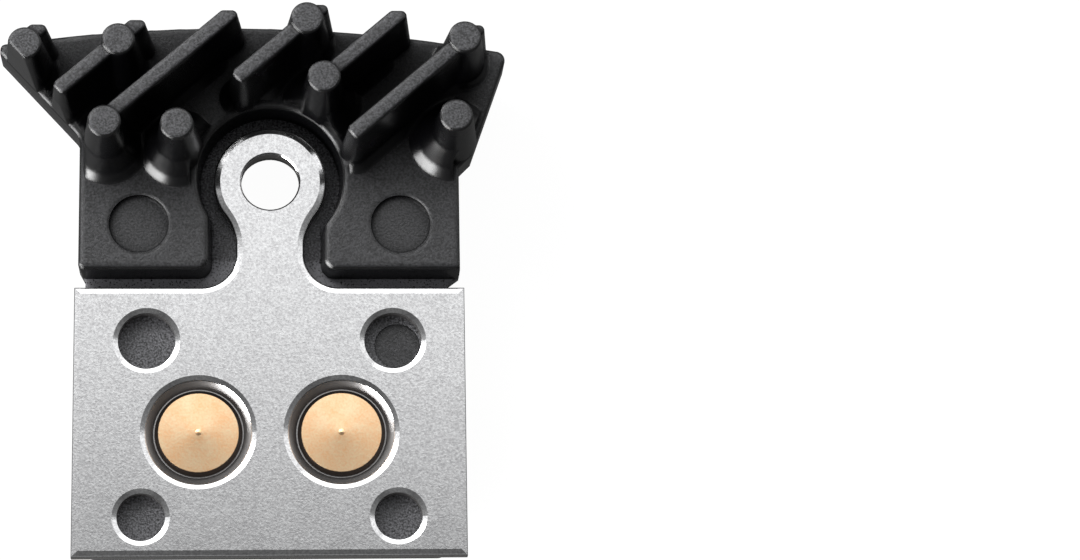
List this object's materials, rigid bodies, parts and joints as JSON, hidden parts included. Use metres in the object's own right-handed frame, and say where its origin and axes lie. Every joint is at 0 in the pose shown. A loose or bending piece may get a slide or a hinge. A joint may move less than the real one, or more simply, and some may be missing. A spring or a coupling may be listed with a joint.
{
  "type": "disc brake pad",
  "caption": "Bicycle disc brake pad: a sintered friction block on a thin carrier, riveted to a stamped steel backing plate with an axle eye, and a cast cooling fin between them.",
  "frame": {"origin": "centre of the friction face", "axes": "+Z is the plate normal towards the piston side, +Y runs from the friction block to the cooling fin, +X is to the right seen from the piston side"},
  "size_m": [0.0321, 0.0341, 0.0105],
  "materials": {
    "backing_plate": "tumbled satin stainless steel",
    "cooling_fin": "black coated die casting, satin with a fine grain",
    "carrier_plate": "thin copper plating",
    "friction_block": "ground sintered metal with dark pores",
    "rivets": "satin copper plating"
  },
  "bodies": {
    "root": {"backing_plate": "backing_plate", "cooling_fin": "cooling_fin", "carrier_plate": "carrier_plate", "friction_block": "friction_block", "rivets": "rivets"}
  },
  "joints": []
}
